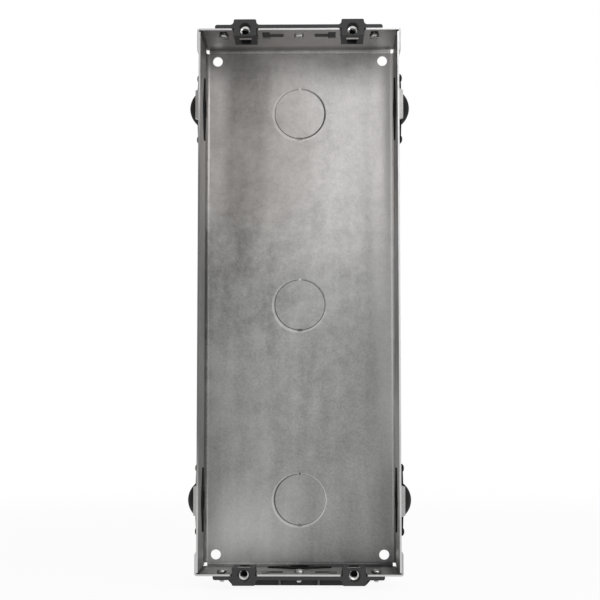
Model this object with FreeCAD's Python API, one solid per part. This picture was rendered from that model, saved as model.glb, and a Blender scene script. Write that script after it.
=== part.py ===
import FreeCAD, Part
import os

# Flush back box for three door-station modules: a folded galvanised sheet shell, open at the front,
# with a moulded screw bracket on each end wall and domed cable bushes on three of the walls.
# Millimetres. +Z is up along the long side, the open front faces -Y, and the origin is the centre of
# the rear face that lies against the back of the wall recess.

# Sheet shell
SHEET = 1.0
BOX_WIDTH = 117.0
BOX_HEIGHT = 317.0
BOX_DEPTH = 45.0
BEND_INNER = 2.0
TAB_BEND_INNER = 0.5
TAB_LENGTH = 13.2
TAB_BEVEL = 0.7
SIDE_END_GAP = 0.9
RELIEF_WIDTH = 2.6
RELIEF_HEIGHT = 2.8
RELIEF_DEPTH = 3.2

# Rear fixing holes
FIX_RADIUS = 3.0
FIX_INSET_X = 7.75
FIX_INSET_Z = 7.5

# Round knock-outs in the rear panel
KNOCK_RADIUS = 15.5
KNOCK_INSET = 40.5
KNOCK_STEP = 0.6
KNOCK_BEVEL = 0.4
TIE_WIDTH = 3.0
TIE_REACH = 0.9

# Screw brackets on the end walls
BRACKET_WIDTH = 98.0
BRACKET_DEPTH = 18.5
BRACKET_PLATE = 2.2
BRACKET_END_RADIUS = 1.2
BOSS_PITCH = 63.0
BOSS_WIDTH = 13.2
BOSS_OUTWARD = 5.4
BOSS_INWARD = 4.4
BOSS_CORNER = 0.9
BOSS_ROOT = 2.0
COVER_HOLE_RADIUS = 3.5
COVER_HOLE_THROAT = 2.8
COVER_HOLE_INWARD = 0.2
FLANGE_HEIGHT = 7.3
FLANGE_THICK = 1.5
FLANGE_TOP_WIDTH = 77.4
FLANGE_FOOT_WIDTH = 86.6
RIB_PITCH = 22.6
RIB_THICK = 1.4
RIB_REACH = 9.0
NOTCH_CLEARANCE = 0.4
NOTCH_MOUTH = 0.9

# Captive square nuts, and the blind channel behind them for the screw ends
NUT_SIDE = 7.2
NUT_THICK = 3.6
NUT_FRONT = 5.0
NUT_BORE_RADIUS = 1.8
NUT_CLEARANCE = 0.1
CHANNEL_WIDTH = 5.5
CHANNEL_END_WALL = 1.5

# Screws that hold each bracket to its end wall
SCREW_DEPTH = 10.9
SCREW_INSET = 4.5
SCREW_HEAD_RADIUS = 2.8
SCREW_HEAD_HEIGHT = 1.8
SCREW_SHANK_RADIUS = 1.45
SCREW_PROUD = 4.6
SHANK_CLEARANCE = 0.05
WALL_HOLE_CLEARANCE = 0.25

# Openings of the end walls at the brackets, and the bracket's ribs in the necks of the keyholes
SLOT_WIDTH = 4.4
SLOT_FRONT = 3.2
SLOT_REAR = 18.6
KEY_INNER = 9.2
KEY_SHOULDER = 17.2
KEY_OUTER = 21.7
KEY_FRONT = 4.6
KEY_REAR = 17.4
KEY_NECK = 4.4
KEY_RIB_CLEARANCE = 0.15
KEY_RIB_PROUD = 0.4

# Cable bushes, with the openings and the pressed hood of the wall that carries each one
SIDE_BUSH_INSET = 41.5
SIDE_BUSH_DEPTH = 27.0
BOTTOM_BUSH_DEPTH = 33.0
BUSH_RADIUS = 10.3
BUSH_EAR_RADIUS = 2.5
BUSH_EAR_PITCH = 37.2
BUSH_PLATE = 2.4
DOME_RADIUS = 10.0
DOME_RISE = 5.0
DOME_HOLLOW_RADIUS = 5.6
DOME_WALL = 2.6
COLLAR_RADIUS = 7.4
COLLAR_TIP = 1.0
COLLAR_PROUD = 0.8
COLLAR_CLEARANCE = 0.1
HOOD_REACH = 4.1
HOOD_RAMP = 1.6
HOOD_BASE = 18.8
HOOD_TOP = 16.6
HOOD_SKIN = 0.6
HOOD_CLEARANCE = 0.1
TONGUE_WIDTH = 14.0
TONGUE_REACH = 1.4
SLIT_WIDTH = 1.2
SLIT_REACH = 8.0
SLIT_OUTER = 15.5
SLIT_INNER = 7.3

# Positions that follow from the sizes above
HALF_X = BOX_WIDTH / 2
HALF_Z = BOX_HEIGHT / 2
FRONT_Y = -BOX_DEPTH
INNER_X = HALF_X - SHEET
INNER_Z = HALF_Z - SHEET
TAB_X = HALF_X + SHEET
SIDE_END_Z = INNER_Z - SIDE_END_GAP
BEND_OUTER = BEND_INNER + SHEET
TAB_BEND_OUTER = TAB_BEND_INNER + SHEET
BRACKET_REAR_Y = FRONT_Y + BRACKET_DEPTH
PLATE_TOP_Z = HALF_Z + BRACKET_PLATE
BOSS_X = BOSS_PITCH / 2
COVER_HOLE_Z = HALF_Z - COVER_HOLE_INWARD
SCREW_X = BRACKET_WIDTH / 2 - SCREW_INSET
SCREW_Y = FRONT_Y + SCREW_DEPTH
NUT_FRONT_Y = FRONT_Y + NUT_FRONT
NUT_REAR_Y = NUT_FRONT_Y + NUT_THICK
KEY_Y = FRONT_Y + (KEY_FRONT + KEY_REAR) / 2
SIDE_BUSH_Y = FRONT_Y + SIDE_BUSH_DEPTH
SIDE_BUSH_Z = HALF_Z - SIDE_BUSH_INSET
KNOCK_Z = HALF_Z - KNOCK_INSET
BUSH_EAR_X = BUSH_EAR_PITCH / 2
HOOD_UNDER = BUSH_PLATE + HOOD_CLEARANCE
HOOD_HEIGHT = HOOD_UNDER + HOOD_SKIN

X_AXIS = FreeCAD.Vector(1, 0, 0)
Y_AXIS = FreeCAD.Vector(0, 1, 0)
Z_AXIS = FreeCAD.Vector(0, 0, 1)
ORIGIN = FreeCAD.Vector(0, 0, 0)


def block(x, y, z):
    """Box between two limits on each axis."""
    corner = FreeCAD.Vector(x[0], y[0], z[0])
    return Part.makeBox(x[1] - x[0], y[1] - y[0], z[1] - z[0], corner)


def drum(radius, start, run):
    """Cylinder from a start point along a run vector."""
    return Part.makeCylinder(radius, run.Length, start, run)


def prism(points, run):
    """Closed polygon pushed along a run vector."""
    face = Part.Face(Part.makePolygon(list(points) + [points[0]]))
    return face.extrude(run)


def join(shapes):
    """One solid from several that meet, with split faces merged again."""
    return shapes[0].multiFuse(shapes[1:]).removeSplitter()


def edges_at(shape, along, **limits):
    """Straight edges along an axis whose middle lies at the given x, y or z values."""
    found = []
    for edge in shape.Edges:
        middle = edge.CenterOfMass
        turned = edge.tangentAt(edge.FirstParameter).cross(along).Length > 1e-6
        if turned or len(edge.Vertexes) != 2:
            continue
        if all(abs(getattr(middle, axis) - value) < 1e-6 for axis, value in limits.items()):
            found.append(edge)
    return found


def both_sides(shape):
    """A shape and its mirror image across the upright middle plane."""
    return [shape, shape.mirror(ORIGIN, X_AXIS)]


def both_ends(shape):
    """A shape and its mirror image across the level middle plane."""
    return [shape, shape.mirror(ORIGIN, Z_AXIS)]


def on_wall(shape, spot, turn):
    """A shape drawn on a level wall with its outside up, turned about Y and carried to its spot."""
    placed = shape.copy()
    placed.rotate(ORIGIN, Y_AXIS, turn)
    placed.translate(spot)
    return placed


# Where each bush sits: the spot on the wall's outer face and the turn from a level wall
BUSH_SEATS = (
    (FreeCAD.Vector(-HALF_X, SIDE_BUSH_Y, SIDE_BUSH_Z), -90),
    (FreeCAD.Vector(-HALF_X, SIDE_BUSH_Y, -SIDE_BUSH_Z), -90),
    (FreeCAD.Vector(HALF_X, SIDE_BUSH_Y, SIDE_BUSH_Z), 90),
    (FreeCAD.Vector(HALF_X, SIDE_BUSH_Y, -SIDE_BUSH_Z), 90),
    (FreeCAD.Vector(0, FRONT_Y + BOTTOM_BUSH_DEPTH, -HALF_Z), 180),
)


# Rear panel and side walls, one trough with rounded rear folds
def trough():
    outer = block((-HALF_X, HALF_X), (FRONT_Y, 0), (-SIDE_END_Z, SIDE_END_Z))
    folds = edges_at(outer, Z_AXIS, x=HALF_X, y=0) + edges_at(outer, Z_AXIS, x=-HALF_X, y=0)
    outer = outer.makeFillet(BEND_OUTER, folds)
    inner = block((-INNER_X, INNER_X), (FRONT_Y - SHEET, -SHEET), (-HALF_Z, HALF_Z))
    folds = edges_at(inner, Z_AXIS, x=INNER_X, y=-SHEET) + edges_at(inner, Z_AXIS, x=-INNER_X, y=-SHEET)
    inner = inner.makeFillet(BEND_INNER, folds)
    sheet = outer.cut(inner)
    relief = block((HALF_X - RELIEF_WIDTH, HALF_X), (-RELIEF_DEPTH, 0), (HALF_Z - RELIEF_HEIGHT, HALF_Z))
    corners = [end for side in both_sides(relief) for end in both_ends(side)]
    return sheet.cut(corners)


# Upper end wall: the fold up from the rear panel, and the tabs that lap the side walls
def end_wall():
    fold_x = HALF_X - RELIEF_WIDTH
    foot_z = HALF_Z - RELIEF_HEIGHT - BEND_OUTER
    outer = block((-fold_x, fold_x), (FRONT_Y, 0), (foot_z, HALF_Z))
    outer = outer.makeFillet(BEND_OUTER, edges_at(outer, X_AXIS, y=0, z=HALF_Z))
    inner = block((-HALF_X, HALF_X), (FRONT_Y - SHEET, -SHEET), (foot_z - SHEET, INNER_Z))
    inner = inner.makeFillet(BEND_INNER, edges_at(inner, X_AXIS, y=-SHEET, z=INNER_Z))
    fold = outer.cut(inner)
    tab_foot = HALF_Z - TAB_LENGTH
    outer = block((-TAB_X, TAB_X), (FRONT_Y, -RELIEF_DEPTH), (tab_foot, HALF_Z))
    bends = edges_at(outer, Y_AXIS, x=TAB_X, z=HALF_Z) + edges_at(outer, Y_AXIS, x=-TAB_X, z=HALF_Z)
    outer = outer.makeFillet(TAB_BEND_OUTER, bends)
    ends = edges_at(outer, Y_AXIS, x=TAB_X, z=tab_foot) + edges_at(outer, Y_AXIS, x=-TAB_X, z=tab_foot)
    outer = outer.makeChamfer(TAB_BEVEL, ends)
    inner = block((-HALF_X, HALF_X), (FRONT_Y - SHEET, 0), (tab_foot - SHEET, INNER_Z))
    bends = edges_at(inner, Y_AXIS, x=HALF_X, z=INNER_Z) + edges_at(inner, Y_AXIS, x=-HALF_X, z=INNER_Z)
    inner = inner.makeFillet(TAB_BEND_INNER, bends)
    return join([fold, outer.cut(inner)])


# Openings of the upper end wall: boss notches, screw slots, keyholes and the middle screw hole
def end_wall_openings():
    through = (INNER_Z - SHEET, HALF_Z + SHEET)
    up = Z_AXIS * (through[1] - through[0])
    half = BOSS_WIDTH / 2 + NOTCH_CLEARANCE
    rear = BRACKET_REAR_Y + NOTCH_CLEARANCE
    outline = [
        (BOSS_X - half - NOTCH_MOUTH, FRONT_Y - NOTCH_MOUTH),
        (BOSS_X - half - NOTCH_MOUTH, FRONT_Y),
        (BOSS_X - half, FRONT_Y + NOTCH_MOUTH),
        (BOSS_X - half, rear),
        (BOSS_X + half, rear),
        (BOSS_X + half, FRONT_Y + NOTCH_MOUTH),
        (BOSS_X + half + NOTCH_MOUTH, FRONT_Y),
        (BOSS_X + half + NOTCH_MOUTH, FRONT_Y - NOTCH_MOUTH),
    ]
    notch = prism([FreeCAD.Vector(x, y, through[0]) for x, y in outline], up)
    slot_x = (SCREW_X - SLOT_WIDTH / 2, SCREW_X + SLOT_WIDTH / 2)
    slot = block(slot_x, (FRONT_Y + SLOT_FRONT, FRONT_Y + SLOT_REAR), through)
    window = block((KEY_SHOULDER, KEY_OUTER), (FRONT_Y + KEY_FRONT, FRONT_Y + KEY_REAR), through)
    neck = block((KEY_INNER, KEY_SHOULDER), (KEY_Y - KEY_NECK / 2, KEY_Y + KEY_NECK / 2), through)
    hole_foot = FreeCAD.Vector(0, SCREW_Y, through[0])
    hole = drum(SCREW_SHANK_RADIUS + WALL_HOLE_CLEARANCE, hole_foot, up)
    pairs = [cut for shape in (notch, slot, window, neck) for cut in both_sides(shape)]
    return pairs + [hole]


# Hood pressed out of a bush's wall, closed to the front and open to the rear over the bush's tongue
def bush_hood():
    rear = -BUSH_RADIUS
    front = rear - HOOD_REACH
    base = [(-HOOD_BASE / 2, front), (HOOD_BASE / 2, front), (HOOD_BASE / 2, rear), (-HOOD_BASE / 2, rear)]
    crest = front + HOOD_RAMP
    top = [(-HOOD_TOP / 2, crest), (HOOD_TOP / 2, crest), (HOOD_TOP / 2, rear), (-HOOD_TOP / 2, rear)]

    def ring(points, height):
        loop = [FreeCAD.Vector(x, y, height) for x, y in points]
        return Part.makePolygon(loop + [loop[0]])

    shell = Part.makeLoft([ring(base, 0), ring(top, HOOD_HEIGHT)], True, True)

    def inset(points):
        return [(x - SHEET if x > 0 else x + SHEET, y + SHEET) for x, y in points]

    hollow = Part.makeLoft([ring(inset(base), 0), ring(inset(top), HOOD_UNDER)], True, True)
    return shell.cut(hollow)


# Lens-shaped plate on a level wall: a round middle whose straight sides run out to circles at the ears
def lens(middle, ear, foot, height):
    rise = (middle - ear) / BUSH_EAR_X
    level = (1 - rise ** 2) ** 0.5
    quarter = [(middle * rise, middle * level), (BUSH_EAR_X + ear * rise, ear * level)]
    outline = quarter + [(x, -y) for x, y in reversed(quarter)]
    outline += [(-x, -y) for x, y in quarter] + [(-x, y) for x, y in reversed(quarter)]
    run = Z_AXIS * height
    web = prism([FreeCAD.Vector(x, y, foot) for x, y in outline], run)
    return join([web, drum(middle, FreeCAD.Vector(0, 0, foot), run)])


# Openings of a bush's wall: the lens for the collar, the hood's window and four slits behind the lens
def bush_openings():
    through = (-2 * SHEET, 0)
    opening = lens(COLLAR_RADIUS + COLLAR_CLEARANCE, COLLAR_TIP + COLLAR_CLEARANCE, through[0], 2 * SHEET)
    half = HOOD_BASE / 2 - SHEET
    window = block((-half, half), (SHEET - BUSH_RADIUS - HOOD_REACH, -BUSH_RADIUS), through)
    slits = [block((x - SLIT_WIDTH, x), (0, SLIT_REACH), through) for x in (SLIT_OUTER, SLIT_INNER)]
    return [opening, window] + [cut for shape in slits for cut in both_sides(shape)]


# Knock-out: a disc half sheared inward, its recess on the rear, and two uncut ties
def knock_out(height):
    step_y = -SHEET - KNOCK_STEP
    middle = FreeCAD.Vector(0, step_y, height)
    disc = Part.makeCone(KNOCK_RADIUS - KNOCK_BEVEL, KNOCK_RADIUS, KNOCK_STEP, middle, Y_AXIS)
    ties = []
    recess = drum(KNOCK_RADIUS, FreeCAD.Vector(0, -KNOCK_STEP, height), Y_AXIS * KNOCK_STEP)
    for side in (-1, 1):
        tie_z = height + side * KNOCK_RADIUS
        limits = (tie_z - TIE_REACH, tie_z + TIE_REACH)
        ties.append(block((-TIE_WIDTH / 2, TIE_WIDTH / 2), (step_y, -SHEET), limits))
        recess = recess.cut(block((-TIE_WIDTH / 2, TIE_WIDTH / 2), (-SHEET, SHEET), limits))
    return [disc] + ties, recess


# Shell, one folded sheet
def back_box_shell():
    ends = both_ends(end_wall())
    raised = [on_wall(bush_hood(), spot, turn) for spot, turn in BUSH_SEATS]
    removed = [cut for shape in end_wall_openings() for cut in both_ends(shape)]
    for spot, turn in BUSH_SEATS:
        removed += [on_wall(cut, spot, turn) for cut in bush_openings()]
    for height in (-KNOCK_Z, 0, KNOCK_Z):
        added, recess = knock_out(height)
        raised += added
        removed.append(recess)
    corner = FreeCAD.Vector(HALF_X - FIX_INSET_X, -2 * SHEET, HALF_Z - FIX_INSET_Z)
    fixing = drum(FIX_RADIUS, corner, Y_AXIS * 3 * SHEET)
    removed += [end for side in both_sides(fixing) for end in both_ends(side)]
    folded = join([trough()] + ends).cut(removed)
    return join([folded] + raised)


# Upper bracket: base plate, two nut bosses, stiffening flange and ribs, and two ribs for the keyholes
def top_bracket():
    half = BRACKET_WIDTH / 2
    run_y = (FRONT_Y, BRACKET_REAR_Y)
    deep = Y_AXIS * BRACKET_DEPTH
    plate = block((-half, half), run_y, (HALF_Z, PLATE_TOP_Z))
    ends = edges_at(plate, Y_AXIS, x=half, z=PLATE_TOP_Z) + edges_at(plate, Y_AXIS, x=-half, z=PLATE_TOP_Z)
    plate = plate.makeFillet(BRACKET_END_RADIUS, ends)
    boss_x = (BOSS_X - BOSS_WIDTH / 2, BOSS_X + BOSS_WIDTH / 2)
    boss_top = HALF_Z + BOSS_OUTWARD
    boss = block(boss_x, run_y, (HALF_Z - BOSS_INWARD, boss_top))
    tops = edges_at(boss, Y_AXIS, x=boss_x[0], z=boss_top) + edges_at(boss, Y_AXIS, x=boss_x[1], z=boss_top)
    boss = boss.makeFillet(BOSS_CORNER, tops)
    roots = []
    for side, x in ((-1, boss_x[0]), (1, boss_x[1])):
        limits = sorted((x, x + side * BOSS_ROOT))
        web = block(limits, run_y, (PLATE_TOP_Z, PLATE_TOP_Z + BOSS_ROOT))
        centre = FreeCAD.Vector(x + side * BOSS_ROOT, FRONT_Y, PLATE_TOP_Z + BOSS_ROOT)
        roots.append(web.cut(drum(BOSS_ROOT, centre, deep)))
    foot, crest = FLANGE_FOOT_WIDTH / 2, FLANGE_TOP_WIDTH / 2
    flange_y = BRACKET_REAR_Y - FLANGE_THICK
    flange_top = HALF_Z + FLANGE_HEIGHT
    outline = [(-foot, HALF_Z), (foot, HALF_Z), (foot, PLATE_TOP_Z), (crest, flange_top)]
    outline += [(-crest, flange_top), (-foot, PLATE_TOP_Z)]
    flange = prism([FreeCAD.Vector(x, flange_y, z) for x, z in outline], Y_AXIS * FLANGE_THICK)
    rib_x = (RIB_PITCH - RIB_THICK) / 2
    side_view = [(flange_y, PLATE_TOP_Z), (flange_y - RIB_REACH, PLATE_TOP_Z), (flange_y, flange_top)]
    rib = prism([FreeCAD.Vector(rib_x, y, z) for y, z in side_view], X_AXIS * RIB_THICK)
    key_half = KEY_NECK / 2 - KEY_RIB_CLEARANCE
    key_x = (KEY_INNER + KEY_RIB_CLEARANCE, KEY_SHOULDER)
    key_rib = block(key_x, (KEY_Y - key_half, KEY_Y + key_half), (INNER_Z - KEY_RIB_PROUD, HALF_Z))
    paired = [twin for shape in [boss, rib, key_rib] + roots for twin in both_sides(shape)]
    body = join([plate, flange] + paired)
    return body.cut(bracket_openings()).removeSplitter()


# Openings of the upper bracket: tapered cover screw holes, nut pockets, blind channels and shank holes
def bracket_openings():
    front = FreeCAD.Vector(BOSS_X, FRONT_Y, COVER_HOLE_Z)
    bore = Part.makeCone(COVER_HOLE_RADIUS, COVER_HOLE_THROAT, NUT_FRONT, front, Y_AXIS)
    open_z = HALF_Z - BOSS_INWARD - SHEET
    half = NUT_SIDE / 2 + NUT_CLEARANCE
    pocket_x = (BOSS_X - half, BOSS_X + half)
    pocket = block(pocket_x, (NUT_FRONT_Y, NUT_REAR_Y + NUT_CLEARANCE), (open_z, COVER_HOLE_Z + half))
    radius = CHANNEL_WIDTH / 2
    channel_y = (NUT_REAR_Y, BRACKET_REAR_Y - CHANNEL_END_WALL)
    channel = block((BOSS_X - radius, BOSS_X + radius), channel_y, (open_z, COVER_HOLE_Z))
    crown_start = FreeCAD.Vector(BOSS_X, NUT_REAR_Y, COVER_HOLE_Z)
    crown = drum(radius, crown_start, Y_AXIS * (channel_y[1] - channel_y[0]))
    shanks = []
    for x in (-SCREW_X, 0, SCREW_X):
        foot = FreeCAD.Vector(x, SCREW_Y, HALF_Z - SHEET)
        shanks.append(drum(SCREW_SHANK_RADIUS + SHANK_CLEARANCE, foot, Z_AXIS * (BRACKET_PLATE + 2 * SHEET)))
    return [twin for shape in (bore, pocket, channel, crown) for twin in both_sides(shape)] + shanks


# Captive square nut at the right-hand end of the upper bracket
def nut():
    half = NUT_SIDE / 2
    z = (COVER_HOLE_Z - half, COVER_HOLE_Z + half)
    body = block((BOSS_X - half, BOSS_X + half), (NUT_FRONT_Y, NUT_REAR_Y), z)
    front = FreeCAD.Vector(BOSS_X, NUT_FRONT_Y, COVER_HOLE_Z)
    return body.cut(drum(NUT_BORE_RADIUS, front, Y_AXIS * NUT_THICK))


# Pan-head screw, its head on the inner face of the upper end wall and its end outside the bracket
def screw(x):
    under = INNER_Z
    crown = under - SCREW_HEAD_HEIGHT
    tip = HALF_Z + SCREW_PROUD
    outline = [
        (SCREW_HEAD_RADIUS, crown),
        (SCREW_HEAD_RADIUS, under),
        (SCREW_SHANK_RADIUS, under),
        (SCREW_SHANK_RADIUS, tip),
        (0, tip),
        (0, crown),
    ]
    points = [FreeCAD.Vector(radius, 0, z) for radius, z in outline]
    body = Part.Face(Part.makePolygon(points + [points[0]])).revolve(ORIGIN, Z_AXIS, 360)
    body.translate(FreeCAD.Vector(x, SCREW_Y, 0))
    return body


# Cable bush on a level wall: a flange with two ears, a tongue for the hood, a collar that fills the wall's
# opening and stands a little proud inside, and a hollow dome
def bush():
    flange = lens(BUSH_RADIUS, BUSH_EAR_RADIUS, 0, BUSH_PLATE)
    ears = both_sides(drum(BUSH_EAR_RADIUS, FreeCAD.Vector(BUSH_EAR_X, 0, 0), Z_AXIS * BUSH_PLATE))
    tongue_y = (-BUSH_RADIUS - TONGUE_REACH, 0)
    tongue = block((-TONGUE_WIDTH / 2, TONGUE_WIDTH / 2), tongue_y, (0, BUSH_PLATE))
    collar_foot = -SHEET - COLLAR_PROUD
    collar = lens(COLLAR_RADIUS, COLLAR_TIP, collar_foot, -collar_foot)
    hollow_top = BUSH_PLATE + DOME_RISE - DOME_WALL
    hollow_foot = FreeCAD.Vector(0, 0, collar_foot)
    hollow = drum(DOME_HOLLOW_RADIUS, hollow_foot, Z_AXIS * (hollow_top - collar_foot))
    return join([flange, tongue, collar, dome()] + ears).cut(hollow)


# Dome of a bush, a cap of a ball
def dome():
    ball_radius = (DOME_RADIUS ** 2 + DOME_RISE ** 2) / (2 * DOME_RISE)
    middle_x = DOME_RADIUS / 2
    middle_z = BUSH_PLATE + DOME_RISE - ball_radius + (ball_radius ** 2 - middle_x ** 2) ** 0.5
    foot = FreeCAD.Vector(DOME_RADIUS, 0, BUSH_PLATE)
    apex = FreeCAD.Vector(0, 0, BUSH_PLATE + DOME_RISE)
    crown = Part.Arc(foot, FreeCAD.Vector(middle_x, 0, middle_z), apex).toShape()
    sides = Part.makePolygon([apex, ORIGIN, FreeCAD.Vector(DOME_RADIUS, 0, 0), foot])
    return Part.Face(Part.Wire([crown] + sides.Edges)).revolve(ORIGIN, Z_AXIS, 360)


bracket = top_bracket()
parts = {
    "back_box_shell": back_box_shell(),
    "top_bracket": bracket,
    "bottom_bracket": bracket.mirror(ORIGIN, Z_AXIS),
    "bracket_nuts": Part.makeCompound([end for side in both_sides(nut()) for end in both_ends(side)]),
    "bracket_screws": Part.makeCompound(
        [end for x in (-SCREW_X, 0, SCREW_X) for end in both_ends(screw(x))]
    ),
    "cable_bushes": Part.makeCompound([on_wall(bush(), spot, turn) for spot, turn in BUSH_SEATS]),
}

os.makedirs("parts", exist_ok=True)
for name, shape in parts.items():
    shape.exportStep("parts/" + name + ".step")
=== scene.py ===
import math

import bpy
import numpy as np
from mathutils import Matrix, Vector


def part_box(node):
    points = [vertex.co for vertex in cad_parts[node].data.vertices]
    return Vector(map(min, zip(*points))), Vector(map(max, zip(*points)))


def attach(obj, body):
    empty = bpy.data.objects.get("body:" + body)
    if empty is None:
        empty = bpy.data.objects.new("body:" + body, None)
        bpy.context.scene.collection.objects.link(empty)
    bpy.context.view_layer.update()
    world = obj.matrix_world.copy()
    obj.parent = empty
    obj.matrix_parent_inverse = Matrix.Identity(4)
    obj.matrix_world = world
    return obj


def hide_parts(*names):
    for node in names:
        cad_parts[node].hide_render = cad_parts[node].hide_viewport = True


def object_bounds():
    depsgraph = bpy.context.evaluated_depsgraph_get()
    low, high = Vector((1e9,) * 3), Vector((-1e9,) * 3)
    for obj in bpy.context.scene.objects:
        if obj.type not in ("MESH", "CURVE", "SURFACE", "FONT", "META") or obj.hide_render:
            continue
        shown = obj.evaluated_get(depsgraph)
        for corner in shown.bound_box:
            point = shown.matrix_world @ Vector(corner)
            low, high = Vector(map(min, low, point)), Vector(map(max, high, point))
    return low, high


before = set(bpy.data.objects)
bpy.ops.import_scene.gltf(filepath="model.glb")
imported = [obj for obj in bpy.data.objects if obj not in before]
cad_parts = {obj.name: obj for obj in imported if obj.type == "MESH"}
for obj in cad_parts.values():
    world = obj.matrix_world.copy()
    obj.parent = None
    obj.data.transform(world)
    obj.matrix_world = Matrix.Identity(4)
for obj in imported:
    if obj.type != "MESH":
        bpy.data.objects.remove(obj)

cad_low, cad_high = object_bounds()

# Back box shell
# One galvanised steel sheet, punched and folded: rear panel, side walls, and end walls whose tabs lap the sides.
# The zinc is cloudy and finely grained, stained brown at one place, and bright where the sheet was sheared. Painted
# light, painted shade and a painted reflection are also laid into its colour on the walls, folds, rear panel,
# knock-outs and left rim.
ZINC_DARK = (0.10, 0.10, 0.099, 1.0)
ZINC_LIGHT = (0.89, 0.89, 0.877, 1.0)
ZINC_WARM = (0.905, 0.878, 0.866, 1.0)
ZINC_STAIN = (0.27, 0.245, 0.225, 1.0)
# the darkest rim colour is painted shade for the left side of the sheared rim
SHEARED_PAINTED_SHADE = (0.17, 0.17, 0.17, 1.0)
SHEARED_BRIGHT = (0.60, 0.60, 0.60, 1.0)
SHEARED_TAB = (0.40, 0.40, 0.40, 1.0)
CLOUD_LEVEL = -0.10
ROLLED = (1.0, 1.0, 0.16)
IN_PANEL = (1.0, 0.0, 1.0)
ALL_ROUND = (1.0, 1.0, 1.0)
ALONG_FOLD = (0.0, 1.0, 1.0)
END_WALL_INSIDE = 0.1575
CORNER_SEAM = (0.0578, 0.0445, 0.1578)
# places of painted shade in the folds and on the side walls, and of painted light low on the right wall
END_FOLD_SHADE = (0.0, 0.0018, 0.1562)
RIGHT_WALL_SHADE_ABOVE = (0.0577, 0.0, 0.110)
RIGHT_WALL_LIGHT_BELOW = (0.0577, 0.0, -0.100)
LEFT_WALL_FOOT_SHADE = (-0.0570, 0.0, -0.155)
LEFT_FOLD_SHADE = (-0.0566, 0.0, 0.0)
# place of the painted shade on the left sheared rim
LEFT_RIM = (-0.0580, 0.0, 0.0)
# places of a painted reflection and of painted light on the rear panel
UPPER_PAINTED_REFLECTION = (0.030, 0.0, 0.120)
RIGHT_PAINTED_LIGHT = (0.062, 0.0, 0.085)
FOOT_PAINTED_LIGHT = (-0.040, 0.0, -0.155)
# lighter and darker streaks, painted shade at the middle left, and the brown stain on the rear panel
LIGHT_STREAK = (-0.053, 0.0, 0.110)
DARK_STREAK = (-0.034, 0.0, 0.090)
MIDDLE_SHADE = (-0.045, 0.0, 0.010)
BROWN_STAIN = (-0.03, 0.0, 0.1)
KNOCK_PITCH = 0.118
KNOCK_RADIUS = 0.0155
# shift of the discs that paint light and shade on the knock-outs' edges
CRESCENT_SHIFT = 0.0005


def node(tree, kind, inputs=None, **settings):
    """Adds a shader node, sets its properties, and sets or links each input given by name or number."""
    made = tree.nodes.new(kind)
    for name, value in settings.items():
        setattr(made, name, value)
    for name, value in (inputs or {}).items():
        if isinstance(value, bpy.types.NodeSocket):
            tree.links.new(value, made.inputs[name])
        else:
            made.inputs[name].default_value = value
    return made


def new_finish(name):
    """A material with only a Principled shader: the material, its tree, the shader and Object coordinates."""
    finish = bpy.data.materials.new(name)
    finish.use_nodes = True
    tree = finish.node_tree
    tree.nodes.clear()
    skin = node(tree, "ShaderNodeBsdfPrincipled")
    node(tree, "ShaderNodeOutputMaterial", {"Surface": skin.outputs["BSDF"]})
    return finish, tree, skin, node(tree, "ShaderNodeTexCoord").outputs["Object"]


def noise(tree, spot, per_metre, detail, rough=0.55):
    """Cloud pattern of a given number of clouds to the metre, from 0 to 1."""
    inputs = {"Vector": spot, "Scale": per_metre, "Detail": detail, "Roughness": rough}
    return node(tree, "ShaderNodeTexNoise", inputs).outputs["Fac"]


def maths(tree, operation, *values):
    """Result of one arithmetic operation on patterns or numbers."""
    return node(tree, "ShaderNodeMath", dict(enumerate(values)), operation=operation).outputs[0]


def ramp(tree, value, start, end, low=0.0, high=1.0):
    """Smooth step of a value: low up to start, high from end on."""
    inputs = {"Value": value, "From Min": start, "From Max": end, "To Min": low, "To Max": high}
    return node(tree, "ShaderNodeMapRange", inputs, interpolation_type="SMOOTHSTEP").outputs["Result"]


def split(tree, vector):
    """The three coordinates of a vector, by the names X, Y and Z."""
    return node(tree, "ShaderNodeSeparateXYZ", {"Vector": vector}).outputs


def stretched(tree, spot, factors):
    """Coordinates multiplied axis by axis, which makes a pattern longer where the factor is small."""
    return node(tree, "ShaderNodeVectorMath", {0: spot, 1: factors}, operation="MULTIPLY").outputs["Vector"]


def mirrored(tree, spot):
    """Coordinates without their signs, so that one place stands for its mirror images."""
    return node(tree, "ShaderNodeVectorMath", {0: spot}, operation="ABSOLUTE").outputs["Vector"]


def patch(tree, spot, centre, inner, outer, factors=IN_PANEL):
    """Soft patch: 1 within the inner radius of its centre, 0 past the outer one.
    The factors multiply the distance axis by axis, and without them it is taken in the rear panel's plane."""
    middle = tuple(place * factor for place, factor in zip(centre, factors))
    inputs = {0: stretched(tree, spot, factors), 1: middle}
    away = node(tree, "ShaderNodeVectorMath", inputs, operation="DISTANCE").outputs["Value"]
    return ramp(tree, away, inner, outer, 1.0, 0.0)


def upright(share):
    """Factors of a patch in the rear panel's plane whose width is the given share of its height."""
    return (1.0, 0.0, share)


def layered(tree, level, layers):
    """A level plus each pattern times its weight."""
    for pattern, weight in layers:
        level = maths(tree, "MULTIPLY_ADD", pattern, weight, level)
    return level


def tint(tree, amount, first, second):
    """Mix of two colours by an amount from 0 to 1."""
    return node(tree, "ShaderNodeMix", {0: amount, 6: first, 7: second}, data_type="RGBA").outputs[2]


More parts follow.
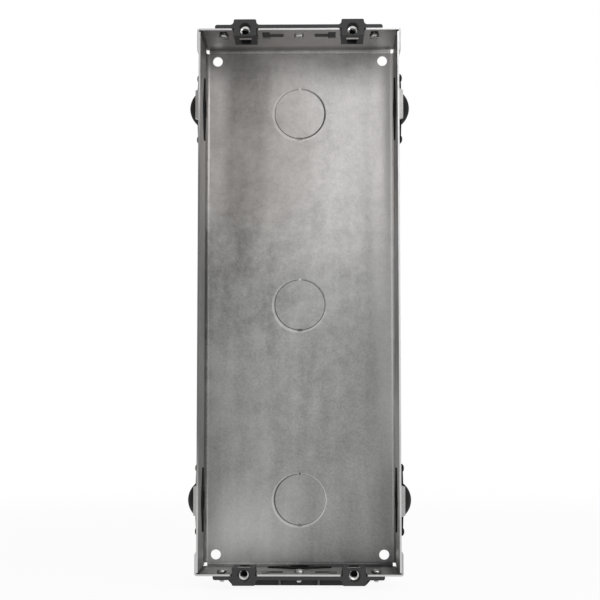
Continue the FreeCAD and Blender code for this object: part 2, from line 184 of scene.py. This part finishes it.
finish, tree, skin, spot = new_finish("galvanised_sheet")
axes = split(tree, spot)
across, depth, height = axes["X"], axes["Y"], axes["Z"]
folded = mirrored(tree, spot)
blotches = noise(tree, spot, 75.0, 6.0, 0.6)
grain = noise(tree, spot, 750.0, 3.0, 0.7)
clouds = layered(tree, CLOUD_LEVEL, [
    (noise(tree, spot, 13.0, 3.0), 0.16),
    (noise(tree, stretched(tree, spot, ROLLED), 90.0, 4.0), 0.20),
    (blotches, 0.16),
    (grain, 0.26),
])

# Walls: painted light in the middle of the upper wall that fades towards its corners, dark corner seams, painted
# shade in the folds, painted shade high on the right wall and at the left wall's foot, painted light low on the right
# wall, lighter outer faces on the left and below, and a band of painted shade along the rear folds
upper_wall = ramp(tree, height, END_WALL_INSIDE - 0.003, END_WALL_INSIDE)
walls = layered(tree, clouds, [
    # painted light in the middle of the upper wall, fading to its corners
    (upper_wall, ramp(tree, split(tree, folded)["X"], 0.025, 0.055, 0.14, -0.02)),
    (patch(tree, folded, CORNER_SEAM, 0.0008, 0.0018, ALL_ROUND), -0.45),
    # painted shade in the end walls' rear folds
    (patch(tree, folded, END_FOLD_SHADE, 0.0006, 0.0015, ALONG_FOLD), -0.36),
    # painted shade high on the right wall, painted light low on it, and painted shade at the left wall's foot
    (patch(tree, spot, RIGHT_WALL_SHADE_ABOVE, 0.0003, 0.0007, upright(0.009)), -0.24),
    (patch(tree, spot, RIGHT_WALL_LIGHT_BELOW, 0.0003, 0.0007, upright(0.009)), 0.55),
    (patch(tree, spot, LEFT_WALL_FOOT_SHADE, 0.0006, 0.0013, upright(0.03)), -0.15),
    # painted shade in the left rear fold
    (patch(tree, spot, LEFT_FOLD_SHADE, 0.0003, 0.0010, upright(0.002)), -0.26),
    (ramp(tree, across, -0.0579, -0.0584), 0.18),
    (ramp(tree, height, -0.1579, -0.1584), 0.18),
    # a band of painted shade along the rear folds, ended where the rear panel starts
    (ramp(tree, depth, -0.014, -0.007), -0.22),
    (ramp(tree, depth, -0.0045, -0.002), 0.22),
])

# Knock-outs: coordinates from the nearest of the three, and slightly shifted discs whose differences paint light and
# shade on its edge and at its ties
knock_height = maths(tree, "WRAP", height, KNOCK_PITCH / 2, -KNOCK_PITCH / 2)
knock = node(tree, "ShaderNodeCombineXYZ", {"X": across, "Z": knock_height}).outputs["Vector"]
disc_right = patch(tree, knock, (CRESCENT_SHIFT, 0.0, 0.0), KNOCK_RADIUS - CRESCENT_SHIFT, KNOCK_RADIUS + CRESCENT_SHIFT)
disc_left = patch(tree, knock, (-CRESCENT_SHIFT, 0.0, 0.0), KNOCK_RADIUS - CRESCENT_SHIFT, KNOCK_RADIUS + CRESCENT_SHIFT)
disc_narrow = patch(tree, knock, (0.0, 0.0, 0.0), KNOCK_RADIUS - 2 * CRESCENT_SHIFT, KNOCK_RADIUS)
disc_wide = patch(tree, knock, (0.0, 0.0, 0.0), KNOCK_RADIUS, KNOCK_RADIUS + 2 * CRESCENT_SHIFT)
disc_slope = patch(tree, knock, (-CRESCENT_SHIFT, 0.0, -CRESCENT_SHIFT), KNOCK_RADIUS + CRESCENT_SHIFT, KNOCK_RADIUS + 3 * CRESCENT_SHIFT)
upper_tie = patch(tree, knock, (0.0, 0.0, KNOCK_RADIUS), 0.0003, 0.0010)
lower_tie = patch(tree, knock, (0.0, 0.0, -KNOCK_RADIUS), 0.0005, 0.0012, (0.5, 0.0, 1.0))

# Rear panel: livelier clouds above, a painted reflection in the upper right, painted light along the right wall and
# low on the left, lighter and darker streaks, painted shade at the middle left, a smear with a firm right edge, and
# the knock-outs' painted light and shade
lively = ramp(tree, height, -0.06, 0.06, 0.06, 0.24)
wavy = layered(tree, across, [(blotches, 0.010)])
smear = maths(tree, "MULTIPLY", ramp(tree, wavy, -0.044, -0.034), ramp(tree, wavy, -0.0115, -0.0155))
smear = maths(tree, "MULTIPLY", smear, ramp(tree, height, 0.152, 0.145))
marks = layered(tree, 0.0, [
    (noise(tree, spot, 260.0, 3.0, 0.6), lively),
    (blotches, lively),
    (lively, -1.0),
    # painted reflection in the upper right, painted light along the right wall and low on the left
    (patch(tree, spot, UPPER_PAINTED_REFLECTION, 0.020, 0.130, upright(0.8)), 0.25),
    (patch(tree, spot, RIGHT_PAINTED_LIGHT, 0.008, 0.022, upright(0.085)), 0.50),
    (patch(tree, spot, FOOT_PAINTED_LIGHT, 0.005, 0.060), 0.30),
    (patch(tree, spot, LIGHT_STREAK, 0.003, 0.013, upright(0.14)), 0.15),
    (patch(tree, spot, DARK_STREAK, 0.009, 0.018, upright(0.21)), -0.14),
    (patch(tree, spot, MIDDLE_SHADE, 0.010, 0.050), -0.06),
    (smear, ramp(tree, height, 0.104, 0.118, 0.0, -0.15)),
    # painted light and shade on the knock-outs' edges and at their ties
    (maths(tree, "SUBTRACT", disc_right, disc_left), ramp(tree, height, -0.10, 0.10, 0.30, -0.36)),
    (maths(tree, "SUBTRACT", disc_wide, disc_narrow), ramp(tree, height, -0.10, 0.10, 0.10, -0.18)),
    (maths(tree, "SUBTRACT", disc_slope, disc_wide), 0.22),
    (upper_tie, ramp(tree, height, -0.08, -0.03, -0.35, 0.35)),
    (lower_tie, -0.30),
])
rear_panel = ramp(tree, depth, -0.006, -0.002)
tone = layered(tree, walls, [(marks, rear_panel)])
light = tint(tree, ramp(tree, height, 0.0, 0.06), ZINC_LIGHT, ZINC_WARM)
zinc = tint(tree, tone, ZINC_DARK, light)
stained = patch(tree, spot, BROWN_STAIN, 0.01, 0.06, upright(0.6))
stain = maths(tree, "MULTIPLY", stained, ramp(tree, depth, -0.006, -0.002, 0.0, 0.45))
zinc = tint(tree, stain, zinc, ZINC_STAIN)

# Sheared front rim: painted shade along the left side, darker on the tabs of the right side
left_rim_shade = patch(tree, spot, LEFT_RIM, 0.0009, 0.0016, upright(0.012))
rim = tint(tree, left_rim_shade, SHEARED_BRIGHT, SHEARED_PAINTED_SHADE)
rim = tint(tree, ramp(tree, across, 0.0584, 0.0588), rim, SHEARED_TAB)
sheared = ramp(tree, depth, cad_low.y + 0.0003, cad_low.y + 0.0001)
tree.links.new(tint(tree, sheared, zinc, rim), skin.inputs["Base Color"])
tree.links.new(ramp(tree, blotches, 0.3, 0.7, 0.38, 0.50), skin.inputs["Roughness"])
rough_skin = node(tree, "ShaderNodeBump", {"Height": grain, "Distance": 0.00004})
tree.links.new(rough_skin.outputs["Normal"], skin.inputs["Normal"])
skin.inputs["Metallic"].default_value = 1.0
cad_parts["back_box_shell"].data.materials[0] = finish

# Screw brackets
# Two black plastic mouldings, one on each end wall, that hold the nuts for the front panel's screws.
# The moulding is matt, with a fine spark-eroded grain and softly rounded corners, and painted shade darkens the deep
# channels at the nuts.
MOULDING_DARK = (0.0215, 0.0215, 0.022, 1.0)
MOULDING_LIGHT = (0.045, 0.045, 0.046, 1.0)
MOULDING_PAINTED_SHADE = (0.003, 0.003, 0.003, 1.0)
MOULDING_SHEEN = 0.3
CHANNEL_CENTRE = (0.0315, 0.0322, 0.1575)
CHANNEL_REACH = 0.0044
CHANNEL_FORM = (1.0, 0.8, 1.0)
CORNER_RADIUS = 0.0004

finish, tree, skin, spot = new_finish("black_moulding")
haze = noise(tree, spot, 70.0, 3.0)
grain = noise(tree, spot, 1400.0, 2.0)
shade = layered(tree, 0.0, [(haze, 0.6), (grain, 0.4)])
# painted shade in the deep channels at the nuts
channel_shade = patch(tree, mirrored(tree, spot), CHANNEL_CENTRE, CHANNEL_REACH, 1.3 * CHANNEL_REACH, CHANNEL_FORM)
plastic = tint(tree, shade, MOULDING_DARK, MOULDING_LIGHT)
tree.links.new(tint(tree, channel_shade, plastic, MOULDING_PAINTED_SHADE), skin.inputs["Base Color"])
tree.links.new(ramp(tree, haze, 0.3, 0.7, 0.48, 0.60), skin.inputs["Roughness"])
rounded = node(tree, "ShaderNodeBevel", {"Radius": CORNER_RADIUS}, samples=6).outputs["Normal"]
grained = node(tree, "ShaderNodeBump", {"Height": grain, "Distance": 0.00002, "Normal": rounded})
tree.links.new(grained.outputs["Normal"], skin.inputs["Normal"])
skin.inputs["Specular IOR Level"].default_value = MOULDING_SHEEN
for name in ("top_bracket", "bottom_bracket"):
    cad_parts[name].data.materials[0] = finish

# Captive nuts
# Four square steel nuts, bright zinc plated, dropped into the pockets of the bosses.
# Their edges are rolled off, their front faces dished and their bores tapped, and painted shade darkens each front
# face beside its bore.
PLATE_DARK = (0.58, 0.58, 0.57, 1.0)
PLATE_LIGHT = (0.88, 0.88, 0.87, 1.0)
# the darkest plate colour is painted shade on the nut faces
PLATE_PAINTED_SHADE = (0.10, 0.10, 0.098, 1.0)
HOLE_SHADE_OFFSET = 0.0019
HOLE_SHADE_RADIUS = 0.0013
NUT_SIDE = 0.0072
NUT_BORE = 0.0018
NUT_CHAMFER = 0.0003
NUT_DISH = 0.0004
NUT_SETTLE = 0.0005
BORE_RINGS = 60
THREAD_PITCH = 0.0007
THREAD_DEPTH = 0.0002
AROUND = 64
SHARP_DEGREES = 35.0

nut_low, nut_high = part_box("bracket_nuts")
nut_x = nut_high.x - NUT_SIDE / 2
nut_z = nut_high.z - NUT_SIDE / 2
finish, tree, skin, spot = new_finish("bright_zinc")
# painted shade on each nut face, beside its bore
hole_shade = patch(tree, mirrored(tree, spot), (nut_x, 0.0, nut_z - HOLE_SHADE_OFFSET), HOLE_SHADE_RADIUS, 1.6 * HOLE_SHADE_RADIUS)
patina = noise(tree, spot, 350.0, 3.0)
plate = tint(tree, patina, PLATE_DARK, PLATE_LIGHT)
tree.links.new(tint(tree, hole_shade, plate, PLATE_PAINTED_SHADE), skin.inputs["Base Color"])
tree.links.new(ramp(tree, patina, 0.3, 0.7, 0.28, 0.42), skin.inputs["Roughness"])
pitted = node(tree, "ShaderNodeBump", {"Height": patina, "Distance": 0.00002})
tree.links.new(pitted.outputs["Normal"], skin.inputs["Normal"])
skin.inputs["Metallic"].default_value = 1.0
angle = np.linspace(0.0, 2.0 * math.pi, AROUND, endpoint=False)


def skin_of_rings(name, rings, finish, looped=False):
    """Closed object through a stack of rings, an array of rings by points by x, y, z in metres.
    Each ring is joined to the next by four-sided faces. A looped stack joins its last ring to its first,
    and any other stack has a face over each end."""
    count, around = rings.shape[:2]
    index = np.arange(count * around).reshape(count, around)
    following = np.roll(index, -1, 0) if looped else index[1:]
    index_from = index if looped else index[:-1]
    sides = [index_from, np.roll(index_from, -1, 1), np.roll(following, -1, 1), following]
    faces = np.stack(sides, -1).reshape(-1, 4).tolist()
    if not looped:
        faces += [index[0, ::-1].tolist(), index[-1].tolist()]
    mesh = bpy.data.meshes.new(name)
    mesh.from_pydata(rings.reshape(-1, 3).tolist(), [], faces)
    mesh.shade_smooth()
    mesh.set_sharp_from_angle(angle=math.radians(SHARP_DEGREES))
    mesh.materials.append(finish)
    piece = bpy.data.objects.new(name, mesh)
    bpy.context.scene.collection.objects.link(piece)
    return piece


def turned(radii, heights, foot, outward, along):
    """Rings round an outward axis: at each height above the foot point, a loop of the given radius.
    Radii and heights are one number a ring or one a point, and the first point lies in the along direction."""
    across = np.cross(outward, along)
    circle = np.cos(angle)[:, None] * np.array(along) + np.sin(angle)[:, None] * across
    radii, heights = (np.asarray(values).reshape(len(values), -1, 1) for values in (radii, heights))
    return np.array(foot) + heights * np.array(outward) + radii * circle


def ridges(heights):
    """Thread profile from 0 to 1: a triangle wave along the axis, which moves on by one pitch in each turn."""
    turn = np.linspace(0.0, 1.0, AROUND, endpoint=False)
    return np.abs(2.0 * ((np.asarray(heights)[:, None] / THREAD_PITCH - turn) % 1.0) - 1.0)


def nut_rings(foot, thick):
    """Square nut: rings from the front face round the outside, over the rear face and back through the bore.
    The square's radius is half its side over the larger of the angle's cosine and sine, signs left out, and the
    bore's radius has the thread's ridges added. The front face slopes in to the dish."""
    square = 1.0 / np.maximum(np.abs(np.cos(angle)), np.abs(np.sin(angle)))
    flat, full = (NUT_SIDE / 2 - NUT_CHAMFER) * square, NUT_SIDE / 2 * square
    mouth = np.full(AROUND, NUT_BORE + NUT_CHAMFER)
    bore_heights = np.linspace(NUT_DISH + NUT_CHAMFER, thick - NUT_CHAMFER, BORE_RINGS)
    bore = NUT_BORE + THREAD_DEPTH * ridges(bore_heights)
    radii = np.vstack([mouth, bore, mouth, flat, full, full, flat])
    outside = [thick, thick, thick - NUT_CHAMFER, NUT_CHAMFER, 0.0]
    heights = np.concatenate([[NUT_DISH], bore_heights, outside])
    return turned(radii[::-1], heights[::-1], foot, (0.0, 1.0, 0.0), (1.0, 0.0, 0.0))


for side in (-1.0, 1.0):
    for end in (-1.0, 1.0):
        foot = (side * nut_x, nut_low.y, end * (nut_z - NUT_SETTLE))
        nut = skin_of_rings("nut", nut_rings(foot, nut_high.y - nut_low.y), finish, looped=True)
        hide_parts("bracket_nuts")
        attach(nut, "root")

# Bracket screws
# Six zinc plated pan-head screws, driven from inside through the end walls into the brackets.
# Each has a cross recess, a rolled thread and a blunt end. The heads are duller than the ends.
SCREW_DULL = (0.45, 0.45, 0.44, 1.0)
SHANK_RADIUS = 0.00145
SHANK_RINGS = 70
TIP_HEIGHT = 0.0004
TIP_SHARE = 0.6
HEAD_HEIGHT = 0.0018
CROWN_SHARE = 0.75
CROWN_FALL = 0.25
SHOULDER_FOOT = 0.2
SHOULDER_RISE = 0.66
RECESS_WIDTH = 0.0007
RECESS_SPAN = 0.0032
RECESS_DEPTH = 0.0009
SHEET = 0.001

screw_low, screw_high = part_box("bracket_screws")
head_radius = (screw_high.y - screw_low.y) / 2
screw_x = screw_high.x - head_radius
screw_y = (screw_high.y + screw_low.y) / 2
wall_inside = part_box("back_box_shell")[1].z - SHEET
finish, tree, skin, spot = new_finish("screw_zinc")
patina = noise(tree, spot, 350.0, 3.0)
plate = tint(tree, patina, PLATE_DARK, PLATE_LIGHT)
heads = ramp(tree, split(tree, mirrored(tree, spot))["Z"], wall_inside + SHEET, wall_inside)
tree.links.new(tint(tree, heads, plate, SCREW_DULL), skin.inputs["Base Color"])
tree.links.new(ramp(tree, patina, 0.3, 0.7, 0.30, 0.45), skin.inputs["Roughness"])
skin.inputs["Metallic"].default_value = 1.0


def screw_rings(foot, outward, length):
    """Pan-head screw with its foot point under the head. The crown falls with the square of the radius and is lower
    inside the cross, the shoulder is a quarter of an ellipse, the shank is cut by the thread's ridges, and the end
    narrows to a blunt tip."""
    crown = np.linspace(0.02, CROWN_SHARE, 16)[:, None] * head_radius
    x, y = np.abs(crown * np.cos(angle)), np.abs(crown * np.sin(angle))
    recess = (np.minimum(x, y) < RECESS_WIDTH / 2) & (np.maximum(x, y) < RECESS_SPAN / 2)
    fall = CROWN_FALL * HEAD_HEIGHT * (crown / head_radius) ** 2
    bend = np.radians(np.linspace(10.0, 90.0, 7))[:, None]
    shoulder = head_radius * (CROWN_SHARE + (1.0 - CROWN_SHARE) * np.sin(bend))
    shank_heights = np.linspace(0.0, length - TIP_HEIGHT, SHANK_RINGS)
    shank = SHANK_RADIUS - THREAD_DEPTH * ridges(shank_heights)
    plain = np.ones((1, AROUND))
    radii = [crown * plain, shoulder * plain, head_radius * plain, shank, TIP_SHARE * SHANK_RADIUS * plain]
    heights = [fall + RECESS_DEPTH * recess - HEAD_HEIGHT,
               -HEAD_HEIGHT * (SHOULDER_FOOT + SHOULDER_RISE * np.cos(bend)) * plain,
               0.0 * plain, shank_heights[:, None] * plain, length * plain]
    return turned(np.vstack(radii), np.vstack(heights), foot, outward, (1.0, 0.0, 0.0))


for end in (-1.0, 1.0):
    for x in (-screw_x, 0.0, screw_x):
        rings = screw_rings((x, screw_y, end * wall_inside), (0.0, 0.0, end), screw_high.z - wall_inside)
        screw = skin_of_rings("screw", rings, finish)
        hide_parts("bracket_screws")
        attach(screw, "root")

# Cable bushes
# Black rubber bushes with a domed end, to be cut open for the cable, and a collar that fills the wall's opening.
# The rubber is matt with a faint bloom.
RUBBER_DARK = (0.005, 0.005, 0.005, 1.0)
RUBBER_LIGHT = (0.014, 0.014, 0.014, 1.0)
RUBBER_SHEEN = 0.12

finish, tree, skin, spot = new_finish("black_rubber")
bloom = noise(tree, spot, 120.0, 4.0)
pores = noise(tree, spot, 1800.0, 1.0)
tree.links.new(tint(tree, bloom, RUBBER_DARK, RUBBER_LIGHT), skin.inputs["Base Color"])
tree.links.new(ramp(tree, bloom, 0.3, 0.7, 0.58, 0.72), skin.inputs["Roughness"])
rounded = node(tree, "ShaderNodeBevel", {"Radius": CORNER_RADIUS}, samples=6).outputs["Normal"]
pored = node(tree, "ShaderNodeBump", {"Height": pores, "Distance": 0.00002, "Normal": rounded})
tree.links.new(pored.outputs["Normal"], skin.inputs["Normal"])
skin.inputs["Specular IOR Level"].default_value = RUBBER_SHEEN
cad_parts["cable_bushes"].data.materials[0] = finish

# Push rivets
# Two to a bush, pushed through its ears into the wall; black nylon with a low domed head.
# Only the heads show.
RIVET_RADIUS = 0.0021
RIVET_HEIGHT = 0.0009
RIVET_SEAT = 0.0002
EAR_FACE = 0.0024
EAR_REACH = 0.0186
SIDE_BUSH = (0.0585, -0.018, 0.117)
BOTTOM_BUSH = (0.0, -0.012, -0.1585)


def rivet_rings(centre, outward, along):
    """Low dome on a short straight foot: the radius falls with the cosine of an angle, and the height rises with
    its sine."""
    rise = np.radians(np.linspace(0.0, 84.0, 9))
    radii = np.concatenate([[RIVET_RADIUS], RIVET_RADIUS * np.cos(rise)])
    heights = np.concatenate([[EAR_FACE - RIVET_SEAT], EAR_FACE + RIVET_HEIGHT * np.sin(rise)])
    return turned(radii, heights, centre, outward, along)


seats = [((side * SIDE_BUSH[0], SIDE_BUSH[1], end * SIDE_BUSH[2]), (side, 0.0, 0.0), (0.0, 0.0, 1.0))
         for side in (-1.0, 1.0) for end in (-1.0, 1.0)]
seats.append((BOTTOM_BUSH, (0.0, 0.0, -1.0), (1.0, 0.0, 0.0)))
for foot, outward, along in seats:
    for ear in (-1.0, 1.0):
        centre = np.array(foot) + ear * EAR_REACH * np.array(along)
        rivet = skin_of_rings("rivet", rivet_rings(centre, outward, along), finish)
        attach(rivet, "root")

# Floor
# A wide white sheet under the box, which runs out into the white background.
# The camera and reflections see it white, with a soft shadow near the box. For all other rays it glows, and this glow
# lights the box from below though the floor is no lamp.
FLOOR_HALF = 4.0
FLOOR_WHITE = (0.90, 0.90, 0.90, 1.0)
FLOOR_GLOW = 0.6
FLOOR_NEAR_WHITE = 0.92
FLOOR_GAP = 0.0002
SHADOW_NEAR = 0.2
SHADOW_FAR = 1.2

floor_z = cad_low.z - FLOOR_GAP
corners = [(-FLOOR_HALF, -FLOOR_HALF), (FLOOR_HALF, -FLOOR_HALF), (FLOOR_HALF, FLOOR_HALF), (-FLOOR_HALF, FLOOR_HALF)]
floor_mesh = bpy.data.meshes.new("floor")
floor_mesh.from_pydata([(x, y, floor_z) for x, y in corners], [], [(0, 1, 2, 3)])
floor = bpy.data.objects.new("floor", floor_mesh)
bpy.context.scene.collection.objects.link(floor)
finish, tree, skin, spot = new_finish("floor_white")
skin.inputs["Base Color"].default_value = FLOOR_WHITE
skin.inputs["Roughness"].default_value = 0.8
near = patch(tree, spot, (0.0, 0.0, floor_z), SHADOW_NEAR, SHADOW_FAR, ALL_ROUND)
rays = node(tree, "ShaderNodeLightPath").outputs
reflected = maths(tree, "MAXIMUM", rays["Is Glossy Ray"], rays["Is Transmission Ray"])
seen = maths(tree, "MAXIMUM", rays["Is Camera Ray"], reflected)
shown = maths(tree, "MULTIPLY", seen, ramp(tree, near, 0.0, 1.0, 1.0, FLOOR_NEAR_WHITE))
# glow for all other rays, which lights the box from below
share = maths(tree, "MAXIMUM", shown, FLOOR_GLOW)
glow = node(tree, "ShaderNodeEmission")
mixed = node(tree, "ShaderNodeMixShader", {0: share, 1: skin.outputs["BSDF"], 2: glow.outputs["Emission"]})
tree.links.new(mixed.outputs["Shader"], tree.nodes["Material Output"].inputs["Surface"])
floor_mesh.materials.append(finish)

# Studio light
# White background behind the box, a greyer room in front of it that is lighter above and to the right,
# and two soft boxes.
ROOM_LEVEL = 0.35
ROOM_ABOVE = 0.20
ROOM_RIGHT = 0.15
ROOM_BEHIND = 0.5
SKY_WHITE = (1.0, 1.0, 1.0, 1.0)
LIT_POINT = (0.0, 0.0, 0.05)

world = bpy.data.worlds.new("studio")
bpy.context.scene.world = world
world.use_nodes = True
tree = world.node_tree
tree.nodes.clear()
axes = split(tree, node(tree, "ShaderNodeTexCoord").outputs["Generated"])
above = ramp(tree, axes["Z"], -0.2, 0.7)
right = ramp(tree, axes["X"], -0.6, 0.6)
behind = ramp(tree, axes["Y"], -0.1, 0.4, 0.0, ROOM_BEHIND)
room = layered(tree, ROOM_LEVEL, [(above, ROOM_ABOVE), (right, ROOM_RIGHT)])
white = maths(tree, "MAXIMUM", behind, node(tree, "ShaderNodeLightPath").outputs["Is Camera Ray"])
level = maths(tree, "MAXIMUM", room, white)
sky = node(tree, "ShaderNodeBackground", {"Color": SKY_WHITE, "Strength": level})
node(tree, "ShaderNodeOutputWorld", {"Surface": sky.outputs["Background"]})


def soft_box(name, place, target, width, watts):
    """Square area lamp at a place, turned to face a target point."""
    lamp = bpy.data.lights.new(name, "AREA")
    lamp.size = width
    lamp.energy = watts
    holder = bpy.data.objects.new(name, lamp)
    holder.location = place
    aim = np.array(target) - np.array(place)
    pitch = math.atan2(math.hypot(aim[0], aim[1]), -aim[2])
    holder.rotation_euler = (pitch, 0.0, math.atan2(-aim[0], aim[1]))
    bpy.context.scene.collection.objects.link(holder)


soft_box("upper_soft_box", (0.40, -0.95, 0.50), LIT_POINT, 0.55, 3.5)
soft_box("right_soft_box", (0.9, -0.6, 0.25), LIT_POINT, 0.6, 2.5)

# Camera
# Long lens from the front, a little below the middle of the box, as in the photograph.
# A small lens shift lets the camera look up less, so the sides of the box stay nearly upright.
LENS_LENGTH = 76.86
SENSOR_WIDTH = 36.0
LENS_SHIFT = 0.05
CAMERA_PLACE = (0.01209, -0.78002, -0.06671)
CAMERA_PITCH = 3.771
CAMERA_TURN = 0.886

lens = bpy.data.cameras.new("camera")
lens.lens = LENS_LENGTH
lens.sensor_width = SENSOR_WIDTH
lens.shift_y = LENS_SHIFT
camera = bpy.data.objects.new("camera", lens)
camera.location = CAMERA_PLACE
camera.rotation_euler = (math.radians(90.0 + CAMERA_PITCH), 0.0, math.radians(CAMERA_TURN))
bpy.context.scene.collection.objects.link(camera)
bpy.context.scene.camera = camera
bpy.context.scene.view_settings.view_transform = "Standard"
